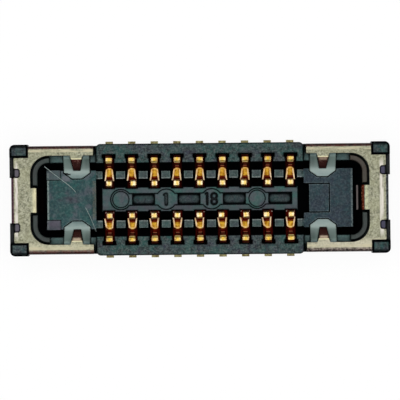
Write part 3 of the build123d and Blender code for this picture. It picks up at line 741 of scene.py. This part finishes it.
# Painted shade of the right lip's bend, with painted glints.
shaded_bend = champagne.rise(x, 2.492, 2.516)
shaded_bend = champagne.mix(shaded_bend, colour(26, 8, 6), colour(92, 36, 22))
shaded_bend = champagne.mix(glints, shaded_bend, colour(176, 116, 84))
tint = champagne.mix(bend, colour(5, 3, 3), shaded_bend)
tint = champagne.mix(foot, tint, colour(116, 108, 106))

# %% [markdown]
# The guide tongues stand between the forks of the leaves. They are painted dark as shade,
# speckled with painted glints, with a black comb along their ends, which a sine across them
# gives, and some of their roots get a painted highlight.

# %% Fittings: tongues
comb_turns = 300

tongues = champagne.rise(aside, 2.3, 2.2) * champagne.rise(out, 0.626, 0.620)
speckles = glints * champagne.rise(out, 0.50, 0.58)
# Painted shade on the tongues, speckled with painted glints.
fuzz = champagne.mix(speckles, colour(62, 30, 27), colour(168, 132, 120))
comb = champagne.rise(champagne.math("SINE", x * comb_turns), -0.2, 0.4)
comb = comb * champagne.rise(out, 0.496, 0.486)
shade = champagne.rise(off_tongue, 0.046, 0.080)
fuzz = champagne.mix(champagne.largest(comb, shade * 0.7), fuzz, colour(8, 5, 5))
# Painted highlight on some of the tongues' roots.
lit = champagne.largest(champagne.rise(y, 0, -0.1), champagne.rise(x, 0, 1) * 0.5)
lit = lit * champagne.between(out, 0.572, 0.630, 0.02) * champagne.rise(shade, 0.8, 0.0)
fuzz = champagne.mix(lit * 0.7, fuzz, colour(204, 186, 160))
tint = champagne.mix(tongues, tint, fuzz)
dull = champagne.largest(lips * champagne.largest(deep, slope), tongues * 0.9)
champagne.dulled(dull, tint)

# %% [markdown]
# A CAD node comes in as loose triangles, so it can't be shaded smoothly. The copy made
# here is merged into one shell, its flat faces are joined up again, and its shading is
# smooth round the folds and sharp at the edges, which the materials then round off. The
# work is done on a copy a thousand times larger, where a millimetre is one unit.

# %% Copy a node in millimetres
weld_distance = 0.0002
flat_angle = math.radians(0.5)


def lone(piece):
    """Selects one object and nothing else."""
    bpy.ops.object.select_all(action="DESELECT")
    piece.select_set(True)
    bpy.context.view_layer.objects.active = piece


def scaled(piece, factor):
    """Makes a piece larger or smaller about the origin, in its mesh."""
    lone(piece)
    bpy.ops.transform.resize(value=(factor,) * 3, center_override=(0, 0, 0))
    bpy.ops.object.transform_apply(location=True, rotation=True, scale=True)


def merged_copy(node, name):
    """Copy of a CAD node, in millimetres, as one closed shell without the node's tags."""
    lone(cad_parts[node])
    bpy.ops.object.duplicate()
    piece = bpy.context.active_object
    piece.name = name
    piece.parent = None
    for key in list(piece.keys()):
        del piece[key]
    scaled(piece, 1 / mm)
    bpy.ops.object.mode_set(mode="EDIT")
    bpy.ops.mesh.select_all(action="SELECT")
    bpy.ops.mesh.remove_doubles(threshold=weld_distance)
    bpy.ops.mesh.dissolve_limited(angle_limit=flat_angle)
    bpy.ops.object.mode_set(mode="OBJECT")
    return piece


# %% [markdown]
# The corner normals that come with the CAD mesh belong to its loose triangles, so they are
# cleared first. Weighted normals then let the large flat faces win over the small ones
# beside them, which keeps a flat face flat up to its fold.

# %% Smooth the folds and dress the piece
fold_angle = math.radians(35)
face_weight = 100


def smoothed(piece):
    """Smooth shading round the folds that keeps the flat faces flat."""
    lone(piece)
    bpy.ops.mesh.customdata_custom_splitnormals_clear()
    bpy.ops.object.shade_smooth_by_angle(angle=fold_angle)
    weights = piece.modifiers.new("weights", "WEIGHTED_NORMAL")
    weights.weight = face_weight
    weights.keep_sharp = True
    bpy.ops.object.modifier_apply(modifier=weights.name)
    return piece


def finished(piece, node, finish):
    """Back to metres, dressed, riding on the part and standing for its node."""
    scaled(piece, mm)
    piece.data.materials.clear()
    piece.data.materials.append(finish.material)
    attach(piece, "root")
    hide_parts(node)
    top = max(vertex.co.z for vertex in piece.data.vertices) / mm
    print(piece.name, len(piece.data.polygons), "faces, top at", round(top, 4))


# %% [markdown]
# The housing is one moulded body that holds everything else. All its walls, ribs, pads and
# numerals are in the CAD solid, and it could be modelled again from boxes, but nothing
# would be gained: its copy keeps every form, and only the shading and the finish are new.

# %% Housing
housing = smoothed(merged_copy("housing", "moulded_housing"))
finished(housing, "housing", slate)

# %% [markdown]
# Some of the thin contacts stand a little askew, by one or two hundredths of a millimetre:
# their arm is turned aside from the fold inwards, and their sprung tip is bent sideways.
# Both are done with transform operators on the vertices of the arm or the tip, which are
# found by their place.

# %% Turn a contact's arm and bend its tip
fold_place = 0.60
arm_start = 0.56
arm_length = 0.40
tip_start = 0.335
tip_level = 0.2
tip_reach = 0.25


def picked(piece, chosen):
    """Edit mode with the vertices selected that the test holds for."""
    lone(piece)
    bpy.ops.object.mode_set(mode="EDIT")
    bpy.ops.mesh.select_all(action="DESELECT")
    bpy.ops.object.mode_set(mode="OBJECT")
    for vertex in piece.data.vertices:
        vertex.select = chosen(vertex.co)
    bpy.ops.object.mode_set(mode="EDIT")


def turned_aside(piece, x, side, turn, bend):
    """Turns a contact's arm about its fold and bends its tip, by shifts of the tip."""
    picked(piece, lambda place: abs(place.y) < arm_start)
    bpy.ops.transform.rotate(
        value=-side * turn / arm_length,
        orient_axis="Z",
        center_override=(x, side * fold_place, 0),
    )
    bpy.ops.object.mode_set(mode="OBJECT")
    picked(piece, lambda place: abs(place.y) < tip_start and place.z > tip_level)
    bpy.ops.transform.translate(value=(bend, 0, 0))
    bpy.ops.object.mode_set(mode="OBJECT")


def tip_offset(piece, x):
    """How far a contact's tip stands beside its place in the row."""
    places = [v.co.x for v in piece.data.vertices if abs(v.co.y) < tip_reach]
    return round((min(places) + max(places)) / 2 - x, 4)


# %% [markdown]
# Eighteen contacts stand in two rows of nine. One could be copied along the rows, but
# each CAD node already stands in its place, so each contact is the copy of its own node.
# Those in the table are bent as in the photo: the first number is the turn and the second
# the bend, both as shifts of the tip.

# %% Contacts
askew = {
    "top_2": (-0.009, 0.031),
    "top_4": (-0.012, 0.000),
    "top_7": (-0.003, -0.020),
    "top_8": (-0.016, 0.016),
    "bottom_1": (-0.014, 0.018),
    "bottom_3": (-0.018, 0.005),
    "bottom_5": (-0.016, 0.004),
    "bottom_6": (-0.014, -0.008),
    "bottom_7": (-0.016, 0.025),
    "bottom_8": (-0.029, 0.000),
    "bottom_9": (-0.003, 0.012),
}
row_length = 9
middle_contact = 5

for row, side in (("top", 1), ("bottom", -1)):
    for number in range(1, row_length + 1):
        node = f"contact_{row}_{number}"
        place = (number - middle_contact) * pitch
        contact = merged_copy(node, f"formed_{node}")
        if f"{row}_{number}" in askew:
            turned_aside(contact, place, side, *askew[f"{row}_{number}"])
            print(node, "tip at", tip_offset(contact, place))
        finished(smoothed(contact), node, gold)

# %% [markdown]
# Four wide forked leaves carry the power, two at each end. They come up behind the end
# fitting's edge and curve across the groove. Their bends are in the CAD solids, so they
# are copied and smoothed as the contacts are, and only the finish is their own.

# %% Power leaves
for side in ("left", "right"):
    for row in ("top", "bottom"):
        node = f"power_leaf_{side}_{row}"
        leaf = smoothed(merged_copy(node, f"formed_{node}"))
        finished(leaf, node, satin)

# %% [markdown]
# The two end fittings are drawn and folded from sheet. They guard the ends of the housing
# when the plug goes in, and hold the connector on the board.

# %% End fittings
for side in ("left", "right"):
    node = f"end_fitting_{side}"
    fitting = smoothed(merged_copy(node, f"folded_{node}"))
    finished(fitting, node, champagne)

# %% [markdown]
# Two lint fibres lie on the left end, one of them leaning on the guide. Each starts as a
# small disc that is extruded from place to place, getting thinner. A curve with a round
# section would do as well, but extruding leaves a closed mesh straight away. A fibre rides
# on the part without standing for a node.

# %% Lint fibres
fibre_sides = 8
narrowing = 0.9

lint = Finish("lint")
lint.set(Base_Color=colour(150, 164, 160), Roughness=0.7)


def fibre(name, thickness, *places):
    """Fibre through places given in millimetres, a little thinner at each one."""
    first, second = Vector(places[0]), Vector(places[1])
    bpy.ops.object.select_all(action="DESELECT")
    bpy.ops.mesh.primitive_circle_add(
        vertices=fibre_sides,
        radius=thickness / 2,
        fill_type="NGON",
        location=first,
        rotation=(second - first).to_track_quat("Z", "Y").to_euler(),
    )
    thread = bpy.context.active_object
    thread.name = name
    bpy.ops.object.transform_apply(location=True, rotation=True, scale=True)
    bpy.ops.object.mode_set(mode="EDIT")
    bpy.ops.mesh.select_all(action="SELECT")
    for start, end in zip(places, places[1:]):
        step = Vector(end) - Vector(start)
        bpy.ops.mesh.extrude_region_move(TRANSFORM_OT_translate={"value": step})
        bpy.ops.transform.resize(value=(narrowing,) * 3, center_override=end)
    bpy.ops.mesh.select_all(action="SELECT")
    bpy.ops.mesh.normals_make_consistent(inside=False)
    bpy.ops.object.mode_set(mode="OBJECT")
    scaled(thread, mm)
    thread.data.materials.append(lint.material)
    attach(thread, "root")
    print(name, "faces:", len(thread.data.polygons))


leaning = [(-2.389, 0.520, 0.562), (-2.270, 0.420, 0.42), (-2.150, 0.325, 0.29)]
leaning += [(-2.038, 0.238, 0.215), (-1.975, 0.182, 0.206), (-1.921, 0.120, 0.206)]
fibre("lint_fibre_leaning", 0.010, *leaning)
lying = [(-1.770, -0.120, 0.206), (-1.712, -0.238, 0.206), (-1.660, -0.360, 0.210)]
lying += [(-1.610, -0.490, 0.230)]
fibre("lint_fibre_lying", 0.006, *lying)

# %% [markdown]
# A white floor lies under the connector. The camera sees it nearly white, by Is Camera
# Ray, except right under the connector and in the gaps beside its posts, and it keeps the
# soft shadow. It is clear from below, so that the solder side can be looked at, and clear
# to the light under the connector, so that the surround lights that side.

# %% Floor
floor_size = 2.0
floor_white = (0.9, 0.9, 0.9, 1)
floor_glow = 0.92

bpy.ops.object.select_all(action="DESELECT")
bpy.ops.mesh.primitive_plane_add(size=floor_size, location=(0, 0, 0))
floor = bpy.context.active_object
floor.name = "floor"
bpy.ops.object.transform_apply(location=True, rotation=True, scale=True)
floor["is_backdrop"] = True

white = Finish("white_floor")
aside, out = [abs(place) for place in white.across()[:2]]
under = white.rise(aside, 2.80, 2.79) * white.rise(out, 0.75, 0.74)
gaps = white.between(aside, 2.50, 2.72, 0.01) * white.rise(out, 0.795, 0.790)
under = white.largest(under, gaps)

rays = white.node("ShaderNodeLightPath", {}).socket.node.outputs
direct = Value(white, rays["Is Camera Ray"])
seen = direct + Value(white, rays["Is Glossy Ray"])
seen = seen + Value(white, rays["Is Transmission Ray"])
white.set(Base_Color=floor_white, Roughness=0.9)
glow = white.node("ShaderNodeEmission", {}, (1, 1, 1, 1), 1.0)
top_side = white.either(seen * (1 - under) * floor_glow, white.glossy, glow)
below = white.node("ShaderNodeNewGeometry", {}, output="Backfacing")
clear = white.node("ShaderNodeBsdfTransparent", {})
white.show(white.either(white.largest(below, under * (1 - direct)), top_side, clear))
floor.data.materials.append(white.material)
print("Floor in m:", floor_size)

# %% [markdown]
# The light is a microscope's: a soft square above, a ring of eight panels round the lens,
# and a dim surround. Flat faces throw it back to the lens, and steep ones go dark. The
# panels are larger than the connector and only centimetres away, so the shadows are soft.

# %% Lights
panels = 8
ring = {"tilt": 30, "distance": 28, "size": 11, "level": 2.2}
overhead = {"tilt": 0, "distance": 30, "size": 50, "level": 0.7}
surround_level = 0.12


def lamp(name, turn, tilt, distance, size, level):
    """Soft panel that faces the connector, with its brightness as a level of white."""
    data = bpy.data.lights.new(name, "AREA")
    data.shape = "SQUARE"
    data.size = size * mm
    data.energy = level * math.pi * data.size**2
    panel = bpy.data.objects.new(name, data)
    tilt, turn = math.radians(tilt), math.radians(turn)
    panel.location = at(
        distance * math.sin(tilt) * math.cos(turn),
        distance * math.sin(tilt) * math.sin(turn),
        distance * math.cos(tilt),
    )
    panel.rotation_euler = (0, tilt, turn)
    panel.visible_camera = False
    scene.collection.objects.link(panel)


lamp("overhead", 0, **overhead)
for number in range(panels):
    lamp(f"ring_{number}", number * 360 / panels, **ring)

world = bpy.data.worlds.new("surround")
world.use_nodes = True
background = world.node_tree.nodes["Background"]
background.inputs["Color"].default_value = (1, 1, 1, 1)
background.inputs["Strength"].default_value = surround_level
scene.world = world
print("Lamps:", panels + 1)

# %% [markdown]
# The box round everything that is shown is printed, in millimetres. The model must stay
# in the CAD box.

# %% Sizes of the model
low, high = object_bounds()
print("Visual box in mm:", [round(v * 1000, 3) for v in (*low, *high)])
